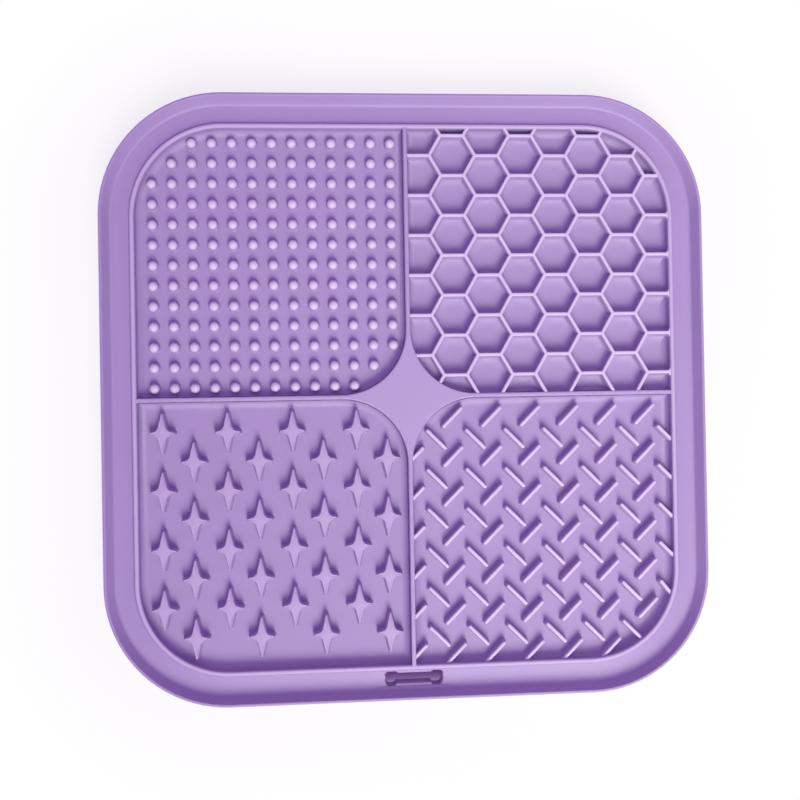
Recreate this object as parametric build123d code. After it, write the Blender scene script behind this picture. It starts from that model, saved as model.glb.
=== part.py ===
"""Square silicone lick mat: four textured fields in a guttered border, on suction cups.

Millimetres, +Z up. The origin is on the surface that the cups stand on, under the middle of the mat.
Seen from above with +Y at the top, the nubs are top left, the honeycomb top right, the stars bottom left
and the bars bottom right, with the hanging slot in the border at -Y.
"""

import os
from math import ceil, cos, hypot, radians, sin, sqrt

from build123d import *

os.makedirs("parts", exist_ok=True)

# Mat and border
mat_width = 200.0
border_width = 11.4
border_edge_radius = 1.2
field_corner_radius = 29.0
floor_thickness = 2.0
field_depth = 4.5

# Ridge between the gutter and the fields
ridge_width = 1.7
ridge_height = 1.2

# Outer rim, whose inner side slopes down to the gutter
rim_height = 3.7
rim_top_width = 1.1
rim_slope_run = 3.1

# Dividers, and the corner of each field beside their crossing
divider_width = 1.7
centre_corner_radius = 21.5

# Round nubs
nub_diameter = 3.5
nub_stem_height = 1.3
nub_pitch_x = 6.53
nub_pitch_y = 6.70
nub_first_x = 4.85
nub_first_y = 3.80
nub_clearance = 0.3

# Honeycomb, sized across the flats from wall middle to wall middle
cell_pitch = 13.28
cell_wall = 1.2
cell_first_x = 4.15
cell_first_y = 6.8
cell_wall_drop = 0.3

# Four-pointed stars with flat tops, whose arms taper from a waist to blunt tips
star_width = 8.6
star_length = 13.5
star_height = 4.2
star_tip_width = 0.9
star_waist_width = 3.5
star_waist_length = 2.1
star_waist_radius = 1.0
star_pitch_x = 21.1
star_row_pitch = 9.57
star_row_shift = 10.05
star_first_x = 7.5
star_first_y = 10.83

# Slanted bars, in two directions that alternate
bar_length = 9.5
bar_width = 1.3
bar_height = 3.4
bar_pitch = 13.08
rising_bar_first_x = 1.3
rising_bar_first_y = 7.3
falling_bar_first_x = 8.9
falling_bar_first_y = 14.6

# Hanging slot, shaped like a bone
slot_length = 18.9
slot_shaft_width = 3.4
slot_knob_diameter = 3.5
slot_knob_spread = 1.7
slot_ridge_gap = 0.25
slot_land_margin = 3.0

# Suction cups
cup_count_per_side = 4
cup_edge_distance = 25.6
cup_diameter = 26.0
cup_height = 4.0
cup_neck_diameter = 10.0
cup_neck_height = 0.7
cup_crown_thickness = 1.6
cup_lip_thickness = 0.7
cup_lip_land = 1.0

# Roundings, as shares of the walls that they round
ridge_round_share = 0.3
rim_round_share = 0.4
star_tip_round_share = 0.35

# The least share of a wall or bar that is kept where the edge of its field cuts it
kept_share = 0.12

# Levels and half widths that follow
floor_z = cup_height + floor_thickness
ridge_z = floor_z + field_depth
gutter_z = ridge_z - ridge_height
mat_half = mat_width / 2
field_half = mat_half - border_width
divider_half = divider_width / 2
outer_corner_radius = field_corner_radius + border_width
left_side = -1
right_side = 1
near_side = -1
far_side = 1


def lift(face, bottom, height):
    """A flat outline raised into a solid that stands at a level."""
    return extrude(Pos(0, 0, bottom) * face, height)


def rounded_square(inset):
    """The mat's outline, drawn in by a distance, with its corners on the same centres."""
    side = mat_width - 2 * inset
    return RectangleRounded(side, side, outer_corner_radius - inset)


def field_outline(side_x, side_y):
    """The floor of one field, with its large outer corner and the corner beside the crossing."""
    span = field_half - divider_half
    middle = (field_half + divider_half) / 2
    square = Pos(side_x * middle, side_y * middle) * Rectangle(span, span)
    corners = square.vertices().sort_by_distance((0, 0, 0))
    square = fillet(corners[-1], field_corner_radius)
    corners = square.vertices().sort_by_distance((0, 0, 0))
    return fillet(corners[0], centre_corner_radius)


def inside_field(x, y, side_x, side_y, margin):
    """Whether a point lies in a field and at least a margin from its walls."""
    u = side_x * x
    v = side_y * y
    if min(u, v) < divider_half + margin or max(u, v) > field_half - margin:
        return False
    outer_middle = field_half - field_corner_radius
    if min(u, v) > outer_middle:
        return hypot(u - outer_middle, v - outer_middle) <= field_corner_radius - margin
    inner_middle = divider_half + centre_corner_radius
    if max(u, v) < inner_middle:
        return hypot(inner_middle - u, inner_middle - v) <= centre_corner_radius - margin
    return True


def steps_to(first, pitch, end):
    """Places from a first one to an end, a pitch apart."""
    count = max(ceil((end - first) / pitch), 1)
    return [first + pitch * step for step in range(count + 1)]


def clipped(face, corners, margin, side_x, side_y, outline):
    """A face cut by the edge of its field, or None where too little of it is left."""
    if all(inside_field(x, y, side_x, side_y, margin) for x, y in corners):
        return face
    kept = [part for part in (face & outline).faces() if part.area > kept_share * face.area]
    return kept[0] if kept else None


def write(name, shapes):
    """Saves one node, as a solid or as a group of solids."""
    node = shapes[0] if len(shapes) == 1 else Compound(children=shapes)
    export_step(node, f"parts/{name}.step")
    print(name, len(shapes))


# Floor sheet and border
floor_sheet = lift(rounded_square(border_width), cup_height, floor_thickness)

border_height = gutter_z - cup_height
border_plate = lift(rounded_square(0), cup_height, border_height)
border_plate = fillet(border_plate.edges().group_by(Axis.Z)[0], border_edge_radius)
border = border_plate - lift(rounded_square(border_width), cup_height, border_height)

# Hanging slot, cut through its stretch of the border
slot_half_width = (slot_knob_spread + slot_knob_diameter) / 2
slot_y = -(field_half + ridge_width + slot_ridge_gap + slot_half_width)
knob_x = (slot_length - slot_knob_diameter) / 2
knob_y = slot_knob_spread / 2
bone = Rectangle(2 * knob_x, slot_shaft_width)
for side_x in (left_side, right_side):
    for side_y in (near_side, far_side):
        bone += Pos(side_x * knob_x, side_y * knob_y) * Circle(slot_knob_diameter / 2)
land_length = slot_length + 2 * slot_land_margin
land_block = lift(Pos(0, -mat_half) * Rectangle(land_length, mat_half), 0, ridge_z)
slot_cut = lift(Pos(0, slot_y) * bone, 0, ridge_z)
hanging_slot_land = (border & land_block) - slot_cut
gutter_band = border - land_block

# Ridge and rim, which stand on the border
ridge_ring = rounded_square(border_width - ridge_width) - rounded_square(border_width)
ridge_frame = lift(ridge_ring, gutter_z, ridge_height)
ridge_edges = ridge_frame.edges().group_by(Axis.Z)[-1]
ridge_frame = fillet(ridge_edges, min(ridge_width, ridge_height) * ridge_round_share)

rim_foot_width = rim_top_width + rim_slope_run
hollow_foot = Pos(0, 0, gutter_z) * rounded_square(rim_foot_width)
hollow_mouth = Pos(0, 0, gutter_z + rim_height) * rounded_square(rim_top_width)
rim_hollow = loft([hollow_foot, hollow_mouth], ruled=True)
outer_rim = lift(rounded_square(0), gutter_z, rim_height) - rim_hollow
rim_edges = outer_rim.edges().group_by(Axis.Z)[-1]
outer_rim = fillet(rim_edges, min(rim_top_width, rim_height) * rim_round_share)

# Divider cross, with a concave star of land where the dividers meet
land_half = divider_half + centre_corner_radius
cross = Rectangle(2 * land_half, 2 * land_half)
for side_x in (left_side, right_side):
    for side_y in (near_side, far_side):
        cross -= Pos(side_x * land_half, side_y * land_half) * Circle(centre_corner_radius)
cross += Rectangle(2 * field_half, divider_width)
cross += Rectangle(divider_width, 2 * field_half)
divider_cross = lift(cross, floor_z, field_depth)

# Nubs, far left
nub_radius = nub_diameter / 2
nub_side = Polyline((0, nub_stem_height + nub_radius), (0, 0), (nub_radius, 0), (nub_radius, nub_stem_height))
nub_dome = CenterArc((0, nub_stem_height), nub_radius, 0, 90)
nub = revolve(Plane.XZ * make_face([*nub_side.edges(), nub_dome]), Axis.Z)
dot_nubs = []
for x in steps_to(nub_first_x, nub_pitch_x, field_half):
    for y in steps_to(nub_first_y, nub_pitch_y, field_half):
        if inside_field(-x, y, left_side, far_side, nub_radius + nub_clearance):
            dot_nubs.append(Pos(-x, y, floor_z) * nub)

# Honeycomb walls, far right, each mitred where three of them meet
cell_field = field_outline(right_side, far_side)
cell_side = cell_pitch / sqrt(3)
cell_column_pitch = cell_pitch * sqrt(3) / 2
wall_height = field_depth - cell_wall_drop


def cell_wall_outline(start, end):
    """One wall between two corners of the honeycomb, pointed at both ends."""
    along = (end - start).normalized()
    across = Vector(-along.Y, along.X) * (cell_wall / 2)
    mitre = along * (cell_wall / 2 / sqrt(3))
    return [
        start,
        start + mitre - across,
        end - mitre - across,
        end,
        end - mitre + across,
        start + mitre + across,
    ]


honeycomb_walls = []
for column, x in enumerate(steps_to(cell_first_x - cell_column_pitch, cell_column_pitch, field_half)):
    shift = cell_pitch / 2 * ((column + 1) % 2)
    for y in steps_to(cell_first_y - cell_pitch + shift, cell_pitch, field_half):
        corner = [
            Vector(x, y) + Vector(cell_side * cos(radians(angle)), cell_side * sin(radians(angle)))
            for angle in range(-60, 121, 60)
        ]
        for start, end in zip(corner, corner[1:]):
            points = cell_wall_outline(start, end)
            wall = make_face(Polyline(*points, close=True).edges())
            flat_points = [(point.X, point.Y) for point in points]
            wall = clipped(wall, flat_points, 0, right_side, far_side, cell_field)
            if wall is not None:
                honeycomb_walls.append(lift(wall, floor_z, wall_height))

# Stars, near left, in rows that alternate
star_tip = star_tip_width / 2
star_x = star_width / 2
star_y = star_length / 2
waist_x = star_waist_width / 2
waist_y = star_waist_length / 2
quarters = [(right_side, far_side), (left_side, far_side), (left_side, near_side), (right_side, near_side)]
star_points = []
for side_x, side_y in quarters:
    flank = [(star_x, star_tip), (waist_x, waist_y), (star_tip, star_y)]
    if side_x != side_y:
        flank.reverse()
    star_points += [(side_x * x, side_y * y) for x, y in flank]
star_outline = make_face(Polyline(*star_points, close=True).edges())
waists = star_outline.vertices().sort_by_distance((0, 0, 0))[:4]
star_outline = fillet(waists, star_waist_radius)
tip_corners = star_outline.vertices().sort_by_distance((0, 0, 0))[-8:]
star_outline = fillet(tip_corners, star_tip_width * star_tip_round_share)
star = lift(star_outline, 0, star_height)
star_spikes = []
for row, y in enumerate(steps_to(star_first_y, star_row_pitch, field_half)):
    shift = star_row_shift * ((row + 1) % 2)
    for x in steps_to(star_first_x + shift, star_pitch_x, field_half):
        tips = [(x + star_x, y), (x - star_x, y), (x, y + star_y), (x, y - star_y)]
        if all(inside_field(-u, -v, left_side, near_side, star_tip) for u, v in tips):
            star_spikes.append(Pos(-x, -y, floor_z) * star)

# Bars, near right, cut off where they meet the walls of their field
bar_field = field_outline(right_side, near_side)


def bars(first_x, first_y, turn):
    """All the bars that lean one way."""
    end_run = bar_length / 2 * cos(radians(turn))
    end_rise = bar_length / 2 * sin(radians(turn))
    found = []
    for x in steps_to(first_x, bar_pitch, field_half):
        for y in steps_to(first_y, bar_pitch, field_half):
            place = Pos(x, -y) * Rot(0, 0, turn)
            outline = place * SlotOverall(bar_length, bar_width)
            ends = [(x + end_run, -y + end_rise), (x - end_run, -y - end_rise)]
            bar = clipped(outline, ends, bar_width / 2, right_side, near_side, bar_field)
            if bar is not None:
                found.append(lift(bar, floor_z, bar_height))
    return found


herringbone_bars = bars(rising_bar_first_x, rising_bar_first_y, 45)
herringbone_bars += bars(falling_bar_first_x, falling_bar_first_y, -45)

# Suction cups, in a square grid under the floor sheet
cup_radius = cup_diameter / 2
neck_radius = cup_neck_diameter / 2
hollow_radius = cup_radius - cup_lip_land
crown = (0, cup_height - cup_crown_thickness)
cup_side = Polyline(
    crown,
    (0, cup_height),
    (neck_radius, cup_height),
    (neck_radius, cup_height - cup_neck_height),
    (cup_radius, cup_lip_thickness),
    (cup_radius, 0),
    (hollow_radius, 0),
)
cup_hollow = TangentArc(crown, (hollow_radius, 0), tangent=(1, 0))
cup = revolve(Plane.XZ * make_face([*cup_side.edges(), cup_hollow]), Axis.Z)
cup_reach = field_half - cup_edge_distance
cup_pitch = 2 * cup_reach / (cup_count_per_side - 1)
cup_places = [cup_pitch * step - cup_reach for step in range(cup_count_per_side)]
suction_cups = [Pos(x, y) * cup for y in cup_places for x in cup_places]

# One file for each node
write("floor_sheet", [floor_sheet])
write("gutter_band", [gutter_band])
write("hanging_slot_land", [hanging_slot_land])
write("ridge_frame", [ridge_frame])
write("outer_rim", [outer_rim])
write("divider_cross", [divider_cross])
write("dot_nubs", dot_nubs)
write("honeycomb_walls", honeycomb_walls)
write("star_spikes", star_spikes)
write("herringbone_bars", herringbone_bars)
for number, suction_cup in enumerate(suction_cups, start=1):
    write(f"suction_cup_{number:02d}", [suction_cup])
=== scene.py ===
# %% [markdown]
# # A silicone lick mat
# The mat is a square of soft purple silicone, about 20 cm across, moulded in one shot. Four fields with
# different textures lie inside a raised ridge, a spill gutter runs round them, and suction cups hold the
# mat down. The solids of every piece already exist at their real size, so this lesson loads them as a
# fixed frame and models softer, moulded-looking pieces in exactly the same places.

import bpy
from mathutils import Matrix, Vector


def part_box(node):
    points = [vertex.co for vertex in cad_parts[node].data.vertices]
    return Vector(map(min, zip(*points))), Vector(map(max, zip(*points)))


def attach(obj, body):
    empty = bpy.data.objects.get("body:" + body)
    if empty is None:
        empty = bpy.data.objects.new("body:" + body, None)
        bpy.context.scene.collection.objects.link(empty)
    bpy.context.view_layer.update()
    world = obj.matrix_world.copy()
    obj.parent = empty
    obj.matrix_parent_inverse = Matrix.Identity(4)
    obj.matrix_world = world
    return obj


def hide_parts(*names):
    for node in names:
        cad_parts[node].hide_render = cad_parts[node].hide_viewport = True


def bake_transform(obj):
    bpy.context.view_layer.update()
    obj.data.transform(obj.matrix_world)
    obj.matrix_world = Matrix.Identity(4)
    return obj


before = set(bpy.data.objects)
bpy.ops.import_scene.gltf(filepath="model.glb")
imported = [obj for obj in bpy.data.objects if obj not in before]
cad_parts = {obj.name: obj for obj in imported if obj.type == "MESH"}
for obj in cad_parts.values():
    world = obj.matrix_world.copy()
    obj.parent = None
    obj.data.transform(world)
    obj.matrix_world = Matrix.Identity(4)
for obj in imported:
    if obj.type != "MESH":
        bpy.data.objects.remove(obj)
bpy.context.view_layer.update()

# %% Bring in Blender's tools and one unit
from math import cos, hypot, pi, radians, sin, sqrt

import bmesh
import bpy
from mathutils import Matrix, Vector

mm = 0.001

# %% [markdown]
# ## Sizes
# A mould maker reads the levels off one drawing, and here that drawing is the frame. The box of each solid
# gives the level of the floor, the ridge and the rim, so no piece can drift away from the part it dresses.
# A box says nothing of round corners, so their two radii are written here.

# %% Read the mat's levels and half widths from the frame
mat_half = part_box("outer_rim")[1].x
rim_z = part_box("outer_rim")[1].z
gutter_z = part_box("outer_rim")[0].z
field_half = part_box("floor_sheet")[1].x
seat_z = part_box("floor_sheet")[0].z
floor_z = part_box("floor_sheet")[1].z
ridge_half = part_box("ridge_frame")[1].x
ridge_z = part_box("ridge_frame")[1].z
ridge_width = ridge_half - field_half
wall_middle = field_half + ridge_width / 2
divider_half = ridge_width / 2
band_width = mat_half - field_half
field_corner = 29.0 * mm
centre_corner = 21.5 * mm
outer_corner = field_corner + band_width
levels = (floor_z, gutter_z, ridge_z, rim_z)
print("floor, gutter, ridge and rim levels in mm:", [round(level / mm, 2) for level in levels])

# %% [markdown]
# ## The silicone
# Silicone of this kind is satin, not glossy: the skin has a fine grain that spreads every highlight. The
# colour is mixed into the rubber, so it hardly varies. A noise a few centimetres wide gives the colour a
# slight drift, a finer one roughens the gloss, and a third, a few tenths of a millimetre wide, feeds a bump.
# All three read Object coordinates, so the finish sits still on the mat from every side. On the textures the
# colour is also painted paler towards the tops: a painted highlight that stands for the gloss on the crests
# and the light that thin silicone lets through. Shader sums are easier to read as Python than as a heap of
# nodes, so a small class turns a socket into something that can be added and multiplied.

# %% A wire that can be added and multiplied like a number
class Wire:
    """A shader socket that takes part in sums, each of which adds a Math node."""

    def __init__(self, tree, socket):
        self.tree = tree
        self.socket = socket

    def maths(self, operation, first, second):
        node = self.tree.nodes.new("ShaderNodeMath")
        node.operation = operation
        for slot, value in zip(node.inputs, (first, second)):
            plug(self.tree, slot, value)
        return Wire(self.tree, node.outputs[0])

    def __add__(self, other):
        return self.maths("ADD", self, other)

    def __sub__(self, other):
        return self.maths("SUBTRACT", self, other)

    def __rsub__(self, other):
        return self.maths("SUBTRACT", other, self)

    def __mul__(self, other):
        return self.maths("MULTIPLY", self, other)

    __radd__ = __add__
    __rmul__ = __mul__


def plug(tree, slot, value):
    """Joins a wire to a socket, or sets the socket to a plain value."""
    if isinstance(value, Wire):
        tree.links.new(value.socket, slot)
    else:
        slot.default_value = value


# %% A finish, which holds one material or sky and adds any other node
class Finish:
    """The empty node tree of a new material or world."""

    def __init__(self, library, name):
        self.owner = library.new(name)
        self.owner.use_nodes = True
        self.tree = self.owner.node_tree
        self.tree.nodes.clear()

    def node(self, kind, output, settings, **sockets):
        """A node of one kind: its settings first, then its sockets. Gives one output, or a table of all."""
        node = self.tree.nodes.new("ShaderNode" + kind)
        for name, value in settings.items():
            setattr(node, name, value)
        slots = {slot.identifier: slot for slot in node.inputs}
        for name, value in sockets.items():
            plug(self.tree, slots[name if name in slots else name.replace("_", " ")], value)
        wires = {slot.identifier: Wire(self.tree, slot) for slot in node.outputs}
        return wires[output] if output else wires

    def show(self, shader, output="OutputMaterial"):
        self.node(output, None, {}, Surface=shader)


def mix_colours(finish, factor, first, second):
    """A colour between two others."""
    settings = {"data_type": "RGBA"}
    return finish.node("Mix", "Result_Color", settings, Factor_Float=factor, A_Color=first, B_Color=second)


def mix_shaders(finish, factor, first, second):
    """A surface between two others."""
    return finish.node("MixShader", "Shader", {}, Fac=factor, Shader=first, Shader_001=second)


# %% The shades of purple and the grain of the skin
def srgb(red, green, blue):
    """A colour as it is written for a screen, made linear."""
    shares = [value / 255 for value in (red, green, blue)]
    linear = [s / 12.92 if s <= 0.04045 else ((s + 0.055) / 1.055) ** 2.4 for s in shares]
    return (*linear, 1.0)


deep_purple = srgb(162, 143, 186)
pale_purple = srgb(172, 154, 195)
painted_highlight_purple = srgb(228, 219, 236)
painted_highlight_share = 0.75
drift_scale = 22.0
cloud_scale = 350.0
grain_scale = 3200.0
plain_detail = 2.0
cloud_detail = 3.0
drift_share = 0.7
noise_middle = 0.5
silicone_roughness = 0.52
cloud_roughness = 0.14
grain_roughness = 0.08
skin_strength = 0.3
skin_depth = 0.03 * mm
skin_cloud_share = 0.6
silicone_ior = 1.43
print("silicone roughness:", silicone_roughness)


# %% The silicone of the mat and its cups
def silicone(name, painted_highlight_heights=None):
    """Satin silicone that drifts between two shades; on a texture its colour is painted paler between two
    heights, a painted highlight on the tops.
    """
    finish = Finish(bpy.data.materials, name)
    place = finish.node("TexCoord", "Object", {})
    drift = finish.node("TexNoise", "Fac", {}, Vector=place, Scale=drift_scale, Detail=plain_detail)
    cloud = finish.node("TexNoise", "Fac", {}, Vector=place, Scale=cloud_scale, Detail=cloud_detail)
    grain = finish.node("TexNoise", "Fac", {}, Vector=place, Scale=grain_scale, Detail=plain_detail)
    blend = drift_share * drift + (1 - drift_share) * cloud
    colour = mix_colours(finish, blend, deep_purple, pale_purple)
    if painted_highlight_heights:
        start, end = painted_highlight_heights
        # Painted highlight: the colour turns paler towards the texture's tops, standing for the gloss on the
        # crests and the light let through thin silicone.
        height = finish.node("SeparateXYZ", "Z", {}, Vector=place)
        raised = finish.node(
            "MapRange", "Result", {"interpolation_type": "SMOOTHSTEP"},
            Value=height, From_Min=floor_z + start, From_Max=floor_z + end,
        )
        colour = mix_colours(finish, painted_highlight_share * raised, colour, painted_highlight_purple)
    uneven = cloud_roughness * (cloud - noise_middle) + grain_roughness * (grain - noise_middle)
    relief = grain + skin_cloud_share * cloud
    skin = finish.node("Bump", "Normal", {}, Strength=skin_strength, Distance=skin_depth, Height=relief)
    shader = finish.node(
        "BsdfPrincipled", "BSDF", {},
        Base_Color=colour, Roughness=silicone_roughness + uneven, Normal=skin, IOR=silicone_ior,
    )
    finish.show(shader)
    return finish.owner


mat_silicone = silicone("mat_silicone")
# Each pair of heights above the floor is where the painted highlight on the texture's tops starts and ends.
nub_silicone = silicone("nub_silicone", (1.3 * mm, 2.9 * mm))
comb_silicone = silicone("comb_silicone", (3.5 * mm, 4.4 * mm))
star_silicone = silicone("star_silicone", (2.3 * mm, 7.2 * mm))
bar_silicone = silicone("bar_silicone", (1.6 * mm, 3.8 * mm))
ridge_silicone = silicone("ridge_silicone", (3.5 * mm, 5.6 * mm))
divider_silicone = silicone("divider_silicone", (3.5 * mm, 7.6 * mm))
cup_silicone = silicone("cup_silicone_soft")
print("materials, with those of the solids:", len(bpy.data.materials))

# %% [markdown]
# ## Moulding tools
# A moulded form is easiest to think of as an outline and a section. The outline is drawn flat from a few
# corners, and a vertex bevel rounds them. The section is a list of points: how far in from the outline, and
# at which level. Insetting the face by each distance and lifting it to each level leaves a ring of skin
# behind, so one short list gives a wall with its draft, a rounded lip and a coved foot.

# %% Draw a flat outline with rounded corners
corner_steps = 20


def in_quarters(points, radii):
    """Repeats the corners of one quarter, and the radii that round them, in all four."""
    corners, rounds = [], []
    for side_x, side_y in ((-1, -1), (1, -1), (1, 1), (-1, 1)):
        order = 1 if side_x == side_y else -1
        corners += [(side_x * x, side_y * y) for x, y in points[::order]]
        rounds += radii[::order]
    return corners, rounds


def outline(corners, radii, level, steps=corner_steps):
    """A bmesh that holds one flat face, with each corner rounded by its radius."""
    bm = bmesh.new()
    points = [bm.verts.new((x, y, level)) for x, y in corners]
    bm.faces.new(points)
    for point, radius in zip(points, radii):
        if radius:
            bmesh.ops.bevel(
                bm, geom=[point], offset=radius, segments=steps, profile=0.5, affect="VERTICES", material=-1
            )
    bm.faces.ensure_lookup_table()
    return bm, bm.faces[0]


def mat_outline(half, level):
    """The mat's rounded square at one distance from its middle."""
    return outline(*in_quarters([(half, half)], [outer_corner - mat_half + half]), level)


# %% Sweep a section along an outline by insets
def quarter(start, end, upright, count=5):
    """Section points on a quarter ellipse that leaves its start upright, or else level."""
    run = end[0] - start[0]
    rise = end[1] - start[1]
    points = []
    for step in range(1, count + 1):
        angle = radians(90 * step / count)
        shares = (1 - cos(angle), sin(angle)) if upright else (sin(angle), 1 - cos(angle))
        points.append((start[0] + run * shares[0], start[1] + rise * shares[1]))
    return points


def terrace(bm, face, section):
    """Draws a face in and lifts it through a section, leaving a ring of skin at each step."""
    reached = 0.0
    for distance, level in section:
        bmesh.ops.inset_region(
            bm, faces=[face], thickness=distance - reached, use_even_offset=True, use_boundary=True
        )
        bmesh.ops.translate(bm, verts=face.verts, vec=(0, 0, level - face.verts[0].co.z))
        reached = distance


# %% Join two swept skins into a closed ring
def add_shell(bm, shell):
    """Moves one bmesh into another."""
    carrier = bpy.data.meshes.new("carrier")
    shell.to_mesh(carrier)
    shell.free()
    bm.from_mesh(carrier)
    bpy.data.meshes.remove(carrier)


def ring(half, level, over, under):
    """A closed ring round the mat: one skin goes over, the other under, and both end on the same loop."""
    bm = bmesh.new()
    for section in (over, under):
        shell, face = mat_outline(half, level)
        terrace(shell, face, section)
        bmesh.ops.delete(shell, geom=[face], context="FACES_ONLY")
        add_shell(bm, shell)
    return bm


# %% Turn a finished bmesh into a piece of the mat
weld = 0.002 * mm
sharp_angle = radians(38)


def make_piece(name, bm, material, nodes):
    """Welds a bmesh, points its faces outwards and lets it stand for its solids."""
    bmesh.ops.remove_doubles(bm, verts=bm.verts, dist=weld)
    bmesh.ops.recalc_face_normals(bm, faces=bm.faces)
    open_edges = sum(not edge.is_manifold for edge in bm.edges)
    for face in bm.faces:
        face.smooth = True
    mesh = bpy.data.meshes.new(name)
    bm.to_mesh(mesh)
    bm.free()
    mesh.set_sharp_from_angle(angle=sharp_angle)
    mesh.materials.append(material)
    piece = bpy.data.objects.new(name, mesh)
    bpy.context.collection.objects.link(piece)
    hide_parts(*nodes)
    print(name, "faces:", len(mesh.polygons), "open edges:", open_edges)
    return piece


def mat_piece(name, bm, node, material=mat_silicone):
    """A piece that never moves against the rest of the mat."""
    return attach(make_piece(name, bm, material, [node]), "mat")


# %% [markdown]
# ## Outer rim
# The rim is the wall that keeps spills on the mat. Its top is round to the touch, and its inner side runs
# down in one soft curve to the gutter, because a sharp inner corner would tear and would hold food. A plain
# extrusion has neither, so the section carries both curves.

# %% Model the rim
rim_draft = 0.45 * mm
rim_lip = 0.6 * mm
rim_flat = 0.1 * mm
rim_shoulder = 0.35 * mm
rim_slope_angle = radians(64)
rim_cove = 1.3 * mm
rim_cove_steps = 8
rim_foot = 4.25 * mm
trough_depth = 0.5 * mm
trough_z = gutter_z - trough_depth

lip_start = (rim_draft, rim_z - rim_lip)
lip_end = (rim_draft + rim_lip, rim_z)
flat_end = (lip_end[0] + rim_flat, rim_z)
shoulder_end = (flat_end[0] + rim_shoulder, rim_z - rim_shoulder / 2)
cove_angles = [rim_slope_angle * (1 - step / rim_cove_steps) for step in range(rim_cove_steps + 1)]
rim_inside = [
    (rim_foot - rim_cove * sin(angle), trough_z + rim_cove * (1 - cos(angle))) for angle in cove_angles
]
rim_over = [
    lip_start,
    *quarter(lip_start, lip_end, upright=True),
    flat_end,
    *quarter(flat_end, shoulder_end, upright=False, count=3),
    *rim_inside,
]
cove_end = rim_inside[-1]
mat_piece("rim_soft", ring(mat_half, gutter_z, rim_over, [cove_end]), "outer_rim")

# %% [markdown]
# ## Ridge
# The ridge is the bead between the gutter and the fields, narrow and rounded on top. A curve with a round
# profile could follow the same route, but a ring from the moulding tools is closed from the start and meets
# the walls of the fields exactly. Its section has a small cove at the foot on the gutter side.

# %% Model the ridge
ridge_foot = 0.5 * mm
ridge_round = 0.6 * mm
ridge_draft = 0.08 * mm

foot_end = (ridge_foot, gutter_z + ridge_foot)
wall_end = (ridge_foot + ridge_draft, ridge_z - ridge_round)
crown_start = (wall_end[0] + ridge_round, ridge_z)
crown_end = (ridge_foot + ridge_width - ridge_draft - ridge_round, ridge_z)
inner_top = (ridge_foot + ridge_width - ridge_draft, ridge_z - ridge_round)
inner_foot = (ridge_foot + ridge_width, gutter_z)
ridge_over = [
    *quarter((0.0, gutter_z), foot_end, upright=False, count=3),
    wall_end,
    *quarter(wall_end, crown_start, upright=True, count=4),
    crown_end,
    *quarter(crown_end, inner_top, upright=False, count=4),
    inner_foot,
]
ridge = ring(ridge_half + ridge_foot, gutter_z, ridge_over, [inner_foot])
mat_piece("ridge_soft", ridge, "ridge_frame", ridge_silicone)

# %% [markdown]
# ## Gutter band and hanging slot
# Under the rim and the ridge lies a thick flat band, whose top is the floor of the gutter. On the near side
# a bone-shaped slot goes through it, so that the mat can hang on a hook. A boolean could cut that slot, but
# it often leaves untidy faces at an edge that has to be rounded. So two planes cut a stretch out of the
# band, and that stretch is a block of its own, whose top is filled round the slot's outline before it gets
# its depth.

# %% Draw the section of the band
band_edge = 1.2 * mm
band_draft = 0.04 * mm
trough_rise = 0.6 * mm
trough_power = 2.4
trough_steps = 6
foot_steps = 5

trough_run = mat_half - ridge_half - rim_foot
trough = [(band_draft, gutter_z), (rim_foot, trough_z)]
for step in range(1, trough_steps + 1):
    share = step / trough_steps
    trough.append((rim_foot + trough_run * share, trough_z + trough_rise * share**trough_power))
trough.append((band_width, trough[-1][1]))
edge_z = seat_z + band_edge
band_end = (band_width + band_draft, seat_z)
band_over = [*trough, band_end]
band_under = [*quarter((0.0, edge_z), (band_edge, seat_z), upright=True, count=foot_steps), band_end]
print("section points over and under the band:", len(band_over), len(band_under))


# %% Model the band and cut the slot's stretch out of it
def cut(bm, point, normal, drop_outside=False):
    """Cuts a bmesh along a plane, and may drop the side that the normal points to."""
    geometry = [*bm.verts, *bm.edges, *bm.faces]
    bmesh.ops.bisect_plane(bm, geom=geometry, plane_co=point, plane_no=normal, clear_outer=drop_outside)


def close_holes(bm):
    """Caps every opening that a cut has left."""
    rims = [edge for edge in bm.edges if edge.is_boundary]
    bmesh.ops.holes_fill(bm, edges=rims, sides=0)


land_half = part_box("hanging_slot_land")[1].x
band = ring(mat_half, edge_z, band_over, band_under)
bmesh.ops.remove_doubles(band, verts=band.verts, dist=weld)
for side in (-1, 1):
    cut(band, (side * land_half, 0, 0), (1, 0, 0))
cut_out = [
    face for face in band.faces
    if abs(face.calc_center_median().x) < land_half and face.calc_center_median().y < 0
]
bmesh.ops.delete(band, geom=cut_out, context="FACES")
close_holes(band)
mat_piece("gutter_band_soft", band, "gutter_band")

# %% Draw the bone-shaped slot and fill the stretch round it
slot_half_length = 9.45 * mm
slot_shaft_half = 1.7 * mm
slot_end_half = 2.6 * mm
slot_knob_length = 3.5 * mm
slot_knob_round = 1.6 * mm
slot_notch_round = 0.6 * mm
slot_steps = 5
slot_gap = 0.25 * mm
slot_y = -(ridge_half + slot_gap + slot_end_half)

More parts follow.
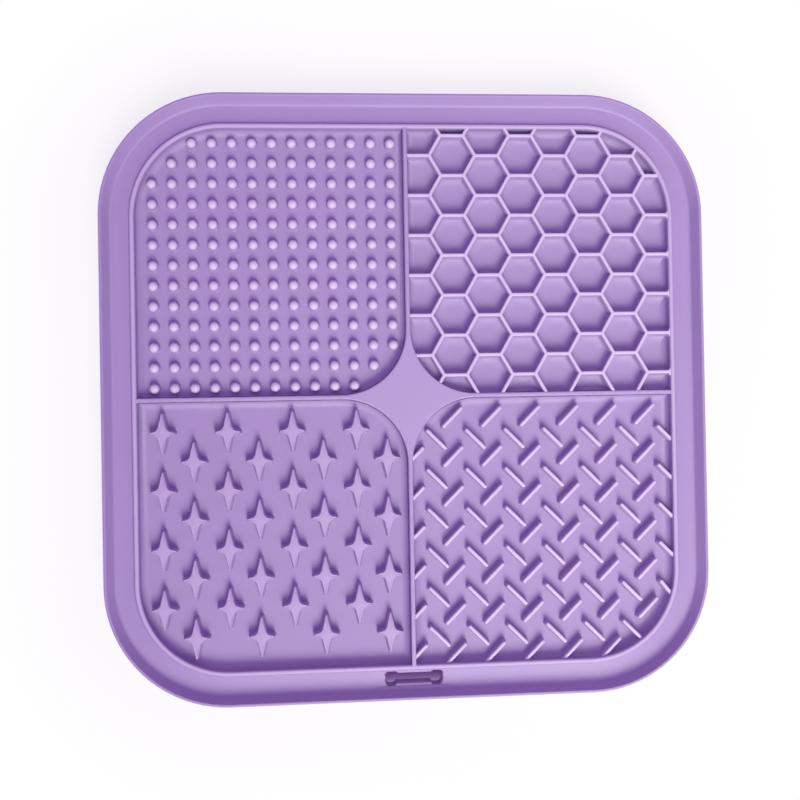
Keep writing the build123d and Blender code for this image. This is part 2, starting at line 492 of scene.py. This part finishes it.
knob_x = slot_half_length - slot_knob_length
bone_quarter = [(slot_half_length, slot_end_half), (knob_x, slot_end_half), (knob_x, slot_shaft_half)]
bone, bone_radii = in_quarters(bone_quarter, [slot_knob_round, slot_knob_round, slot_notch_round])
land, bone_face = outline([(x, slot_y + y) for x, y in bone], bone_radii, gutter_z, steps=slot_steps)
bone_edges = list(bone_face.edges)
bmesh.ops.delete(land, geom=[bone_face], context="FACES_ONLY")
near, far = -mat_half, -field_half
land_corners = [(-land_half, near), (land_half, near), (land_half, far), (-land_half, far)]
border = [land.verts.new((x, y, gutter_z)) for x, y in land_corners]
border_edges = [land.edges.new((border[i], border[i - 1])) for i in range(len(border))]
bmesh.ops.triangle_fill(land, edges=bone_edges + border_edges, use_beauty=True)
for bend in trough[1:-1]:
    cut(land, (0, bend[0] - mat_half, 0), (0, 1, 0))
print("faces round the slot:", len(land.faces))


# %% Give the stretch its depth and the dish of the gutter
def trough_level(inset):
    """The level of the gutter's floor at a distance from the mat's edge."""
    for (start, low), (end, high) in zip(trough, trough[1:]):
        if inset <= end:
            return low + (high - low) * max(inset - start, 0) / (end - start)
    return trough[-1][1]


grown = bmesh.ops.extrude_face_region(land, geom=land.faces[:])
lowered = {item for item in grown["geom"] if isinstance(item, bmesh.types.BMVert)}
for point in land.verts:
    point.co.z = seat_z if point in lowered else trough_level(point.co.y + mat_half)
print("points on the underside of the stretch:", len(lowered))

# %% Round the stretch's outer foot and the mouth of the slot
slot_lip = 0.35 * mm
slot_edge_angle = radians(60)
lip_steps = 3


def edges_where(bm, test):
    """The edges of a bmesh whose two ends both pass a test."""
    return [edge for edge in bm.edges if all(test(point.co) for point in edge.verts)]


def at_outer_foot(place):
    """Whether a place lies on the lower edge of the mat's outer side."""
    return place.y < weld - mat_half and place.z < seat_z + weld


def at_slot_mouth(place):
    """Whether a place lies on the gutter's floor, within the slot's length and width."""
    across = abs(place.x) < slot_half_length + weld and abs(place.y - slot_y) < slot_end_half + weld
    return across and place.z > trough_z - weld


outer_foot = edges_where(land, at_outer_foot)
bmesh.ops.bevel(
    land, geom=outer_foot, offset=band_edge, segments=foot_steps, profile=0.5, affect="EDGES", material=-1
)
mouth_edges = edges_where(land, at_slot_mouth)
slot_mouth = [edge for edge in mouth_edges if edge.calc_face_angle(0.0) > slot_edge_angle]
bmesh.ops.bevel(
    land, geom=slot_mouth, offset=slot_lip, segments=lip_steps, profile=0.5, affect="EDGES", material=-1
)
mat_piece("hanging_slot_soft", land, "hanging_slot_land")

# %% [markdown]
# ## Floor of the fields
# Each field is a shallow pan. Where its floor meets the walls there is a cove with a radius of about 2 mm,
# which lets a tongue and a brush reach the corner. A bevel between the floor and the walls could give it,
# but the walls here are pieces of their own. So one plate carries four pans, and each pan is the field's
# outline with a section that climbs beside the wall and comes down in a quarter round.

# %% Model the plate and its four coved pans
pan_cove = 2.3 * mm
pan_grow = 0.05 * mm
pan_sink = 0.1 * mm
pan_draft = 0.12 * mm
pan_rest = 0.2 * mm


def field_corners(side_x, side_y, grow):
    """The corners of one field, from the crossing outwards, and their radii."""
    near = divider_half - grow
    far = field_half + grow
    corners = [(near, near), (far, near), (far, far), (near, far)]
    return [(side_x * x, side_y * y) for x, y in corners], [centre_corner + grow, 0, field_corner + grow, 0]


plate = bmesh.new()
shell, sheet = mat_outline(field_half, seat_z)
terrace(shell, sheet, [(pan_sink, floor_z - pan_sink)])
close_holes(shell)
add_shell(plate, shell)
cove_top = (pan_draft, floor_z + pan_cove)
cove_foot = (pan_draft + pan_cove, floor_z)
pan_section = [
    cove_top,
    *quarter(cove_top, cove_foot, upright=True, count=6),
    (cove_foot[0] + pan_rest, floor_z),
]
for side_x in (-1, 1):
    for side_y in (-1, 1):
        shell, sheet = outline(*field_corners(side_x, side_y, pan_grow), floor_z - pan_sink)
        terrace(shell, sheet, pan_section)
        close_holes(shell)
        add_shell(plate, shell)
mat_piece("floor_soft", plate, "floor_sheet")

# %% [markdown]
# ## Divider cross
# Two thin dividers part the fields, and where they cross they widen into a flat four-pointed land. Two
# crossed boxes would need that land as a third piece. Drawn as one plain plus sign, the four inner corners
# only need a large vertex bevel to become it.

# %% Model the dividers
divider_draft = 0.12 * mm
divider_round = 0.5 * mm
divider_rest = 0.1 * mm

arm_quarter = [(wall_middle, divider_half), (divider_half, divider_half), (divider_half, wall_middle)]
cross, cross_face = outline(*in_quarters(arm_quarter, [0, centre_corner, 0]), floor_z - pan_sink)
side_top = (divider_draft, ridge_z - divider_round)
round_end = (divider_draft + divider_round, ridge_z)
cross_section = [
    side_top,
    *quarter(side_top, round_end, upright=True),
    (round_end[0] + divider_rest, ridge_z),
]
terrace(cross, cross_face, cross_section)
close_holes(cross)
mat_piece("divider_soft", cross, "divider_cross", divider_silicone)

# %% [markdown]
# ## Copies of one shape
# Nubs, stars and bars are each one small shape, repeated. An Array modifier repeats in straight lines and
# can't leave out the copies that would cross a wall. So a stamp adds the shape's mesh to the piece at each
# of a list of spots, and a test on the field's outline says which spots are far enough from its walls.

# %% A stamp, and the test for spots
def stamped(shape, spots):
    """A bmesh with a copy of one shape at every spot."""
    bmesh.ops.remove_doubles(shape, verts=shape.verts, dist=weld)
    bmesh.ops.recalc_face_normals(shape, faces=shape.faces)
    mesh = bpy.data.meshes.new("stamp")
    shape.to_mesh(mesh)
    shape.free()
    bm = bmesh.new()
    for spot in spots:
        before = len(bm.verts)
        bm.from_mesh(mesh)
        bm.verts.ensure_lookup_table()
        bmesh.ops.transform(bm, matrix=spot, verts=bm.verts[before:])
    bpy.data.meshes.remove(mesh)
    return bm


def in_field(u, v, margin):
    """Whether a point, measured outwards from the crossing, lies a margin inside its field."""
    if min(u, v) < divider_half + margin or max(u, v) > field_half - margin:
        return False
    outer = field_half - field_corner
    if min(u, v) > outer:
        return hypot(u - outer, v - outer) <= field_corner - margin
    inner = divider_half + centre_corner
    if max(u, v) < inner:
        return hypot(inner - u, inner - v) <= centre_corner - margin
    return True


def places(first, pitch):
    """Places from a first one to the edge of the field and one beyond, a pitch apart."""
    count = int((field_half - first) / pitch) + 2
    return [first + pitch * step for step in range(count)]


# %% [markdown]
# ## Nubs
# The first field has rows of round nubs, each a short stem with a domed top and a small flare at its foot.
# A squashed ball has no stem. A half section of a few points, spun once round, has one and gives a nub of a
# few dozen faces, which is all that a shape repeated more than a hundred times can afford.

# %% Model one nub
nub_radius = 1.75 * mm
nub_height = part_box("dot_nubs")[1].z - floor_z
nub_flare = 0.3 * mm
nub_dome = 1.45 * mm
nub_dome_angles = [radians(angle) for angle in (0, 34, 63, 90)]
nub_sides = 12


def turned(half_section, steps):
    """A bmesh of a half section, spun once round the upright axis."""
    bm = bmesh.new()
    points = [bm.verts.new((x, 0, z)) for x, z in half_section]
    spine = [bm.edges.new(pair) for pair in zip(points, points[1:])]
    bmesh.ops.spin(
        bm, geom=points + spine, cent=(0, 0, 0), axis=(0, 0, 1), angle=2 * pi, steps=steps, use_merge=True
    )
    return bm


stem_top = nub_height - nub_dome
dome = [(nub_radius * cos(angle), stem_top + nub_dome * sin(angle)) for angle in nub_dome_angles]
nub = turned([(0, 0), (nub_radius + nub_flare, 0), (nub_radius, nub_flare), *dome], nub_sides)
print("faces of a nub:", len(nub.faces))

# %% Place the nubs
nub_pitch = (6.53 * mm, 6.70 * mm)
nub_first = (4.85 * mm, 3.80 * mm)
nub_clearance = 0.3 * mm

nub_spots = [
    Matrix.Translation((-u, v, floor_z))
    for u in places(nub_first[0], nub_pitch[0])
    for v in places(nub_first[1], nub_pitch[1])
    if in_field(u, v, nub_radius + nub_clearance)
]
print("nubs:", len(nub_spots))
mat_piece("nubs_soft", stamped(nub, nub_spots), "dot_nubs", nub_silicone)

# %% [markdown]
# ## Honeycomb
# The second field is a honeycomb. Instead of building walls, the cells are made: hexagons fill the plane,
# every cell is inset and pushed down, and then the field's own outline trims them. What is left between the
# cells is the wall, with a rounded crest, a little draft and a cove at its foot.

# %% Fill the field with hexagons
cell_pitch = 13.28 * mm
cell_first = (4.15 * mm, 6.8 * mm)
cell_drop = 0.3 * mm
cell_top = ridge_z - cell_drop
cell_weld = 10 * weld

cell_side = cell_pitch / sqrt(3)
column_pitch = cell_pitch * sqrt(3) / 2
comb = bmesh.new()
for column, x in enumerate(places(cell_first[0], column_pitch)):
    shift = cell_pitch / 2 * (column % 2)
    for y in places(cell_first[1] - shift, cell_pitch):
        bmesh.ops.create_circle(
            comb, segments=6, radius=cell_side, cap_ends=True,
            matrix=Matrix.Translation((x, y, cell_top)) @ Matrix.Rotation(radians(30), 4, "Z"),
        )
bmesh.ops.remove_doubles(comb, verts=comb.verts, dist=cell_weld)
cells = list(comb.faces)
print("hexagons:", len(cells))

# %% Push the cells down between their walls
cell_wall_half = 0.6 * mm
cell_crest = 0.45 * mm
cell_draft = 0.2 * mm
cell_cove = (3.4 * mm, 1.3 * mm)
cell_lift = 0.03 * mm
cell_floor = floor_z + cell_lift

crest = (cell_wall_half - cell_crest, cell_top)
wall_top = (cell_wall_half, cell_top - cell_crest)
wall_foot = (cell_wall_half + cell_draft, cell_floor + cell_cove[1])
cell_section = [
    crest,
    *quarter(crest, wall_top, upright=False, count=3),
    wall_foot,
    *quarter(wall_foot, (wall_foot[0] + cell_cove[0], cell_floor), upright=True, count=6),
]
reached = 0.0
for distance, level in cell_section:
    bmesh.ops.inset_individual(comb, faces=cells, thickness=distance - reached, use_even_offset=True)
    sunk = list({point for cell in cells for point in cell.verts})
    bmesh.ops.translate(comb, verts=sunk, vec=(0, 0, level - sunk[0].co.z))
    reached = distance
print("depth of a cell in mm:", round((cell_top - cell_floor) / mm, 2))

# %% Trim the honeycomb to its field and close it underneath
trim_grow = 0.5 * mm
trim_steps = 12

trim_shell, trim_face = outline(*field_corners(1, 1, trim_grow), cell_top, steps=trim_steps)
trim_middle = trim_face.calc_center_median()
for edge in trim_face.edges:
    first, second = (point.co for point in edge.verts)
    outward = Vector((second.y - first.y, first.x - second.x, 0))
    if outward.dot(trim_middle - first) > 0:
        outward.negate()
    cut(comb, first, outward, drop_outside=True)
trim_shell.free()
skirt = bmesh.ops.extrude_edge_only(comb, edges=[edge for edge in comb.edges if edge.is_boundary])
skirt_points = [item for item in skirt["geom"] if isinstance(item, bmesh.types.BMVert)]
bmesh.ops.scale(comb, vec=(1, 1, 0), verts=skirt_points)
bmesh.ops.translate(comb, verts=skirt_points, vec=(0, 0, floor_z - pan_sink))
close_holes(comb)
mat_piece("honeycomb_soft", comb, "honeycomb_walls", comb_silicone)

# %% [markdown]
# ## Stars
# The third field has tall four-pointed stars with flat tops. The outline is a twelve-cornered star whose
# corners are rounded by a vertex bevel, and the section is the same idea as before: a flare at the foot, a
# wall with a little draft and a rounded edge on top. Narrow arms leave no room for insets, so each ring is
# the outline again, with every point moved along its own corner's direction. The tops fall a little towards
# the tips, so a poke puts a point in the middle of the last face for them to rise to.

# %% Draw the star's outline and the way in from each of its points
star_half = (4.3 * mm, 6.75 * mm)
star_tip_half = 0.45 * mm
star_waist = (1.75 * mm, 1.05 * mm)
star_waist_round = 1.0 * mm
star_tip_round = 0.3 * mm
star_steps = 4
star_mitre_limit = 0.5

star_quarter = [(star_half[0], star_tip_half), star_waist, (star_tip_half, star_half[1])]
star_rounds = [star_tip_round, star_waist_round, star_tip_round]
star, star_face = outline(*in_quarters(star_quarter, star_rounds), 0, steps=star_steps)
star_rim = [point.co.copy() for point in star_face.verts]
star_inwards = []
for before, here, after in zip(star_rim[-1:] + star_rim[:-1], star_rim, star_rim[1:] + star_rim[:1]):
    first, second = (here - before).normalized(), (after - here).normalized()
    normal = Vector((-first.y - second.y, first.x + second.x, 0)).normalized()
    star_inwards.append(normal / max(normal.dot(Vector((-first.y, first.x, 0))), star_mitre_limit))
print("points round a star:", len(star_rim))

# %% Raise one star through its section
star_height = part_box("star_spikes")[1].z - floor_z
star_flare = 0.3 * mm
star_fall = 0.5 * mm
star_insets = [-0.12 * mm, 0, 0.08 * mm, 0.16 * mm, 0.26 * mm, 0.38 * mm]
star_levels = [0.3 * mm, 0.8 * mm, 3.3 * mm, 3.7 * mm, 4.0 * mm, 4.2 * mm]

for point, inwards in zip(star_face.verts, star_inwards):
    point.co -= inwards * star_flare
for inset, level in zip(star_insets, star_levels):
    star_face = bmesh.ops.extrude_discrete_faces(star, faces=[star_face])["faces"][0]
    for point, corner, inwards in zip(star_face.verts, star_rim, star_inwards):
        fall = star_fall * corner.length / star_half[1] * level / star_height
        point.co = corner + inwards * inset + Vector((0, 0, level - fall))
peak = bmesh.ops.poke(star, faces=[star_face])["verts"][0]
peak.co = (0, 0, star_height)
close_holes(star)
print("faces of a star:", len(star.faces))

# %% Place the stars
star_pitch = 21.1 * mm
star_row_pitch = 9.57 * mm
star_row_shift = 10.05 * mm
star_first = (7.5 * mm, 10.83 * mm)

star_spots = []
for row, v in enumerate(places(star_first[1], star_row_pitch)):
    shift = star_row_shift * ((row + 1) % 2)
    for u in places(star_first[0] + shift, star_pitch):
        tips = [(u + side * star_half[0], v) for side in (-1, 1)]
        tips += [(u, v + side * star_half[1]) for side in (-1, 1)]
        if all(in_field(*tip, star_tip_half) for tip in tips):
            star_spots.append(Matrix.Translation((-u, -v, floor_z)))
print("stars:", len(star_spots))
mat_piece("stars_soft", stamped(star, star_spots), "star_spikes", star_silicone)

# %% [markdown]
# ## Slanted bars
# The last field has short bars that lean one way and then the other. A mould needs draft to let go of them,
# which a stretched cube hasn't, so each bar is an outline with a section that is wide at its foot and narrow
# at its rounded crest. Bars that meet the wall of their field are cut off inside that wall by a plane, and
# at its round corner their ends are drawn back into it.

# %% Model one bar
bar_length = 9.5 * mm
bar_width = 1.3 * mm
bar_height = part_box("herringbone_bars")[1].z - floor_z
bar_spread = 0.38 * mm
bar_crest = 0.4 * mm
bar_end_share = 0.86
bar_draft_share = 1.2
bar_crest_share = 0.7
bar_steps = 3

half_x, half_y = bar_length / 2 + bar_spread, bar_width / 2 + bar_spread
bar, bar_face = outline(*in_quarters([(half_x, half_y)], [bar_end_share * half_y]), 0, steps=bar_steps)
bar_foot = (bar_spread / 2, bar_spread)
bar_shoulder = (bar_draft_share * bar_spread, bar_height - bar_crest)
bar_top = (bar_shoulder[0] + bar_crest_share * bar_crest, bar_height)
terrace(bar, bar_face, [bar_foot, bar_shoulder, *quarter(bar_shoulder, bar_top, upright=True, count=3)])
close_holes(bar)
print("faces of a bar:", len(bar.faces))

# %% Place the bars and end them inside the walls
bar_pitch = 13.08 * mm
bar_lean = radians(45)
rising_first = (1.3 * mm, 7.3 * mm)
falling_first = (8.9 * mm, 14.6 * mm)

bar_spots = []
for first, lean in ((rising_first, bar_lean), (falling_first, -bar_lean)):
    for u in places(first[0], bar_pitch):
        for v in places(first[1], bar_pitch):
            if in_field(u, v, -bar_width):
                bar_spots.append(Matrix.Translation((u, -v, floor_z)) @ Matrix.Rotation(lean, 4, "Z"))
bars = stamped(bar, bar_spots)
cut(bars, (0, 0, 0), (-1, 0, 0), drop_outside=True)
cut(bars, (wall_middle, 0, 0), (1, 0, 0), drop_outside=True)
cut(bars, (0, -wall_middle, 0), (0, -1, 0), drop_outside=True)
corner_middle = Vector((field_half - field_corner, field_corner - field_half))
corner_reach = field_corner + ridge_width / 2
for point in bars.verts:
    out = point.co.xy - corner_middle
    if out.x > 0 > out.y and out.length > corner_reach:
        point.co.xy = corner_middle + out.normalized() * corner_reach
close_holes(bars)
print("bars:", len(bar_spots))
mat_piece("bars_soft", bars, "herringbone_bars", bar_silicone)

# %% [markdown]
# ## Suction cups
# Sixteen thin cups hold the mat down. Each is a turned shape: a neck, a dome that thins towards its lip, and
# a hollow underneath. A scaled half ball would have walls of one thickness, so a half section is spun round
# instead. A real cup flattens against the table while its neck stays on the mat; here each cup is a piece of
# its own that keeps its shape.

# %% Draw half the section of a cup
cup_crown = 1.6 * mm
cup_land = 1.0 * mm
cup_lip = 0.7 * mm
cup_lip_edge = 0.15 * mm
cup_lip_round = (0.35 * mm, 0.2 * mm)
cup_neck_radius = 5.0 * mm
cup_neck = 0.7 * mm
cup_neck_flare = 0.8 * mm
cup_neck_turn = (0.2 * mm, 0.15 * mm)
cup_neck_top = 0.3 * mm
hollow_steps = 8
back_steps = 4


def cup_half_section(radius):
    """Half the section of a cup, from the middle of its hollow round to the middle of its neck."""
    hollow = radius - cup_land
    crown = seat_z - cup_crown
    arc = (hollow**2 + crown**2) / (2 * crown)
    reach = [hollow * step / hollow_steps for step in range(hollow_steps + 1)]
    inside = [(x, sqrt(arc**2 - x**2) - arc + crown) for x in reach]
    edge = [(radius - cup_lip_edge, 0), (radius, cup_lip_edge), (radius, cup_lip - cup_lip_round[1])]
    neck_z = seat_z - cup_neck
    lip_top = Vector((radius - cup_lip_round[0], cup_lip))
    neck_foot = Vector((cup_neck_radius + cup_neck_flare, neck_z - cup_neck_turn[1]))
    back = [lip_top.lerp(neck_foot, step / back_steps) for step in range(back_steps + 1)]
    neck = [
        (cup_neck_radius + cup_neck_turn[0], neck_z + cup_neck_turn[1]),
        (cup_neck_radius, seat_z - cup_neck_top),
        (cup_neck_radius, seat_z),
    ]
    return [*inside, *edge, *[(place.x, place.y) for place in back], *neck, (0, seat_z)]


# %% Model the cups
cup_steps = 40

for name in sorted(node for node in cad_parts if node.startswith("suction_cup")):
    low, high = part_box(name)
    middle = (low + high) / 2
    cup = turned(cup_half_section((high.x - low.x) / 2), cup_steps)
    bmesh.ops.translate(cup, verts=cup.verts, vec=(middle.x, middle.y, 0))
    piece = make_piece(name + "_soft", cup, cup_silicone, [name])
    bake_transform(piece)

# %% [markdown]
# ## Floor, light and camera
# The mat lies on a plain white table. The light is one large soft lamp on the near side, so that every wall
# throws a short soft shadow away from the viewer. Light also seeps through silicone and comes out purple, so
# the sky that fills the shadows has that colour. Under the slot a patch of the table is painted purple:
# painted shade, standing for the purple shadow seen through the slot. To the camera and in reflections the
# sky is plain white. Near the mat the table shows a share of the mat's shadow, and further out it is plain
# white to the camera too.

# %% Lay the table
table_half = 6.0

table_bm = bmesh.new()
bmesh.ops.create_grid(table_bm, x_segments=1, y_segments=1, size=table_half)
table_mesh = bpy.data.meshes.new("table")
table_bm.to_mesh(table_mesh)
table_bm.free()
table = bpy.data.objects.new("table", table_mesh)
bpy.context.collection.objects.link(table)
print("table half width in m:", table_half)

# %% Measure how far the table's points lie from the mat's edge and from the slot
table_finish = Finish(bpy.data.materials, "white_table")
table_place = table_finish.node("TexCoord", "Object", {})


def vector_maths(operation, first, second=(0, 0, 0), output="Vector"):
    """A Vector Math node on the table."""
    settings = {"operation": operation}
    return table_finish.node("VectorMath", output, settings, Vector=first, Vector_001=second)


straight = mat_half - outer_corner
folded = vector_maths("MULTIPLY", vector_maths("ABSOLUTE", table_place), (1, 1, 0))
beyond = vector_maths("MAXIMUM", vector_maths("SUBTRACT", folded, (straight, straight, 0)))
from_mat = vector_maths("LENGTH", beyond, output="Value") - outer_corner
from_slot = vector_maths("SUBTRACT", table_place, (0, slot_y - slot_end_half, 0))
narrowed = vector_maths("MULTIPLY", from_slot, (slot_end_half / slot_half_length, 1, 0))
from_slot_middle = vector_maths("LENGTH", narrowed, output="Value")
print("nodes that measure the table:", len(table_finish.tree.nodes))

# %% Mix the table's plain white, its shadow and the painted purple shade under the slot
white_start = 1.0 * mm
white_end = 45.0 * mm
shadow_share = 0.2
cover_edge = 2.0 * mm
painted_shade_start = 3 * slot_end_half
painted_shade_end = 2 * slot_end_half
plain_white = (1, 1, 1, 1)
table_white = (0.9, 0.9, 0.9, 1)
painted_shade_purple = (0.45, 0.29, 0.58, 1)
table_roughness = 0.7


def shown_rays(finish):
    """1 for what the camera sees straight, in a reflection or through something clear."""
    rays = finish.node("LightPath", None, {})
    return rays["Is Camera Ray"] + rays["Is Glossy Ray"] + rays["Is Transmission Ray"]


clear = table_finish.node(
    "MapRange", "Result", {"interpolation_type": "SMOOTHSTEP"},
    Value=from_mat, From_Min=white_start, From_Max=white_end,
)
uncovered = table_finish.node("MapRange", "Result", {}, Value=from_mat, From_Min=-cover_edge, From_Max=0.0)
whiteness = uncovered * (1 - shadow_share + shadow_share * clear)
# Painted shade: under the mat, round the slot, the table's colour turns purple to stand for the purple
# shadow seen through the slot.
painted_shade_mask = table_finish.node(
    "MapRange", "Result", {}, Value=from_slot_middle, From_Min=painted_shade_start, From_Max=painted_shade_end
)
table_colour = mix_colours(table_finish, (1 - uncovered) * painted_shade_mask, table_white, painted_shade_purple)
matt = table_finish.node("BsdfPrincipled", "BSDF", {}, Base_Color=table_colour, Roughness=table_roughness)
glow = table_finish.node("Emission", "Emission", {}, Color=plain_white, Strength=1.0)
table_finish.show(mix_shaders(table_finish, whiteness * shown_rays(table_finish), matt, glow))
table_mesh.materials.append(table_finish.owner)
print("nodes of the table's finish:", len(table_finish.tree.nodes))

# %% Set the lamp
lamp_place = Vector((0.187, -0.748, 0.919))
lamp_aim = Vector((0.18, 0.0, 0.0))
lamp_width = 0.5
lamp_height = 0.8
lamp_spread = radians(57.6)
lamp_power = 2.24
lamp_colour = (0.96, 1, 0.82)

lamp = bpy.data.lights.new("key_lamp", "AREA")
lamp.shape = "RECTANGLE"
lamp.size = lamp_width
lamp.size_y = lamp_height
lamp.spread = lamp_spread
lamp.energy = lamp_power
lamp.color = lamp_colour
lamp_holder = bpy.data.objects.new("key_lamp", lamp)
lamp_holder.location = lamp_place
lamp_holder.rotation_euler = (lamp_aim - lamp_place).to_track_quat("-Z", "Y").to_euler()
bpy.context.collection.objects.link(lamp_holder)
print("lamp's distance in m:", round((lamp_aim - lamp_place).length, 2))

# %% Tint the sky, and show it as plain white
sky_purple = (0.69, 0.36, 1, 1)
sky_strength = 0.62

sky = Finish(bpy.data.worlds, "tinted_sky")
fill = sky.node("Background", "Background", {}, Color=sky_purple, Strength=sky_strength)
backdrop = sky.node("Background", "Background", {}, Color=plain_white, Strength=1.0)
sky.show(mix_shaders(sky, shown_rays(sky), fill, backdrop), "OutputWorld")
bpy.context.scene.world = sky.owner
print("sky:", sky.owner.name)

# %% Point the camera as the photograph was taken
camera_place = Vector((-29.64, -3.96, 339.41)) * mm
camera_target = Vector((-3.17, -1.25, 10.5)) * mm
camera_up = Vector((0.0181, 1.0, 0.0))
camera_lens = 45.0
camera_sensor = 36.0
camera_near = 0.01

camera = bpy.data.objects.new("camera", bpy.data.cameras.new("camera"))
camera.data.lens = camera_lens
camera.data.sensor_width = camera_sensor
camera.data.clip_start = camera_near
back = (camera_place - camera_target).normalized()
right = camera_up.cross(back).normalized()
camera_turn = Matrix((right, back.cross(right), back)).transposed().to_4x4()
camera.matrix_world = Matrix.Translation(camera_place) @ camera_turn
bpy.context.collection.objects.link(camera)
bpy.context.scene.camera = camera
bpy.context.scene.view_settings.view_transform = "Standard"
print("camera height in mm:", round(camera_place.z / mm, 1))
